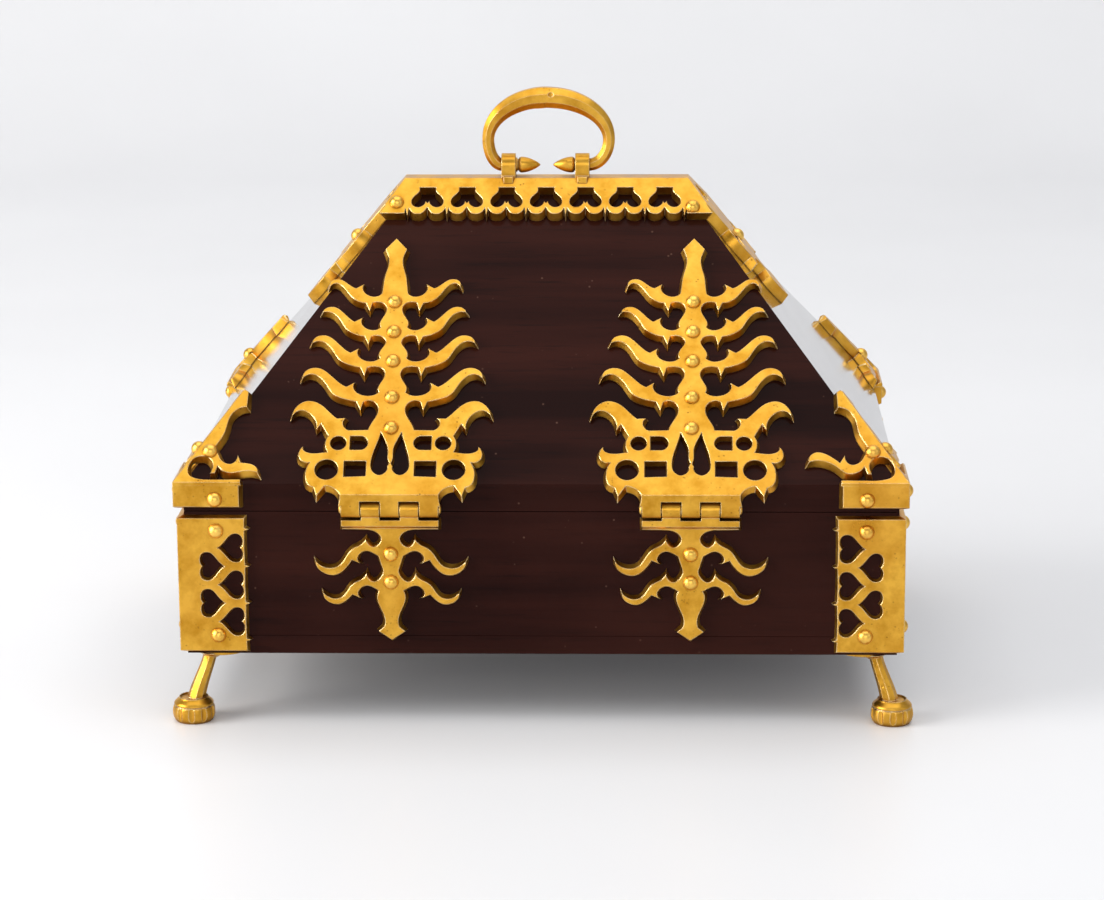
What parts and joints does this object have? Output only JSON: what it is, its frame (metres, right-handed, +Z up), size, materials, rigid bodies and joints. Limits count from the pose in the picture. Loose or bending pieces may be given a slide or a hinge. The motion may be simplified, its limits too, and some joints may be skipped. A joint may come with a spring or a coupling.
{
  "type": "jewel casket",
  "caption": "Brass-bound wooden casket with a hinged hipped lid, bail handle, pierced strap hinges, hasp lock and paw feet.",
  "frame": {"origin": "on the ground, at the centre of the overall box", "axes": "+Z up, +X along the width, the hinge side faces -Y and the lock side faces +Y"},
  "size_m": [0.3148, 0.2312, 0.2561],
  "materials": {
    "lacquered_wood": "dark red-brown wood under gloss lacquer",
    "brass": "cast brass, satin, with light patina and bright edges",
    "rivet_brass": "turned brass, polished",
    "lock_steel": "plain steel, dull"
  },
  "bodies": {
    "base": {"bottom_board": "lacquered_wood", "back_board": "lacquered_wood", "right_board": "lacquered_wood", "front_board": "lacquered_wood", "left_board": "lacquered_wood", "base_corner_plate_back_left": "brass", "base_corner_plate_back_right": "brass", "base_corner_plate_front_left": "brass", "base_corner_plate_front_right": "brass", "foot_back_left": "brass", "foot_back_right": "brass", "foot_front_left": "brass", "foot_front_right": "brass", "foot_screws": "lock_steel", "hinge_lower_leaf_left": "brass", "hinge_lower_leaf_right": "brass", "hinge_pin_left": "rivet_brass", "hinge_pin_right": "rivet_brass", "base_rivets": "rivet_brass", "lock_plate": "brass", "lock_case": "lock_steel"},
    "lid": {"lid_back_rim": "lacquered_wood", "lid_right_rim": "lacquered_wood", "lid_front_rim": "lacquered_wood", "lid_left_rim": "lacquered_wood", "lid_back_panel": "lacquered_wood", "lid_right_panel": "lacquered_wood", "lid_front_panel": "lacquered_wood", "lid_left_panel": "lacquered_wood", "lid_ridge_beam": "lacquered_wood", "cap_plate": "brass", "lid_corner_bracket_back_left": "brass", "lid_corner_bracket_back_right": "brass", "lid_corner_bracket_front_left": "brass", "lid_corner_bracket_front_right": "brass", "hinge_upper_leaf_left": "brass", "hinge_upper_leaf_right": "brass", "front_strap": "brass", "hasp_pin": "rivet_brass", "handle_staple_left": "brass", "handle_staple_right": "brass", "lid_rivets": "rivet_brass"},
    "handle": {"handle_bail": "brass"},
    "hasp": {"hasp": "brass"},
    "bolt": {"lock_bolt": "lock_steel"}
  },
  "joints": [
    {"name": "lid_hinge", "type": "hinge", "parent": "base", "child": "lid", "pos_m": [0, -0.1119, 0.0942], "axis": [1, 0, 0], "range_deg": [0, 100]},
    {"name": "handle_swing", "type": "hinge", "parent": "lid", "child": "handle", "pos_m": [0, 0, 0.2218], "axis": [1, 0, 0], "range_deg": [-100, 100]},
    {"name": "hasp_swing", "type": "hinge", "parent": "lid", "child": "hasp", "pos_m": [0, 0.1119, 0.0942], "axis": [1, 0, 0], "range_deg": [0, 95]},
    {"name": "lock_bolt_slide", "type": "slide", "parent": "base", "child": "bolt", "axis": [-1, 0, 0], "range_m": [0, 0.01]}
  ]
}
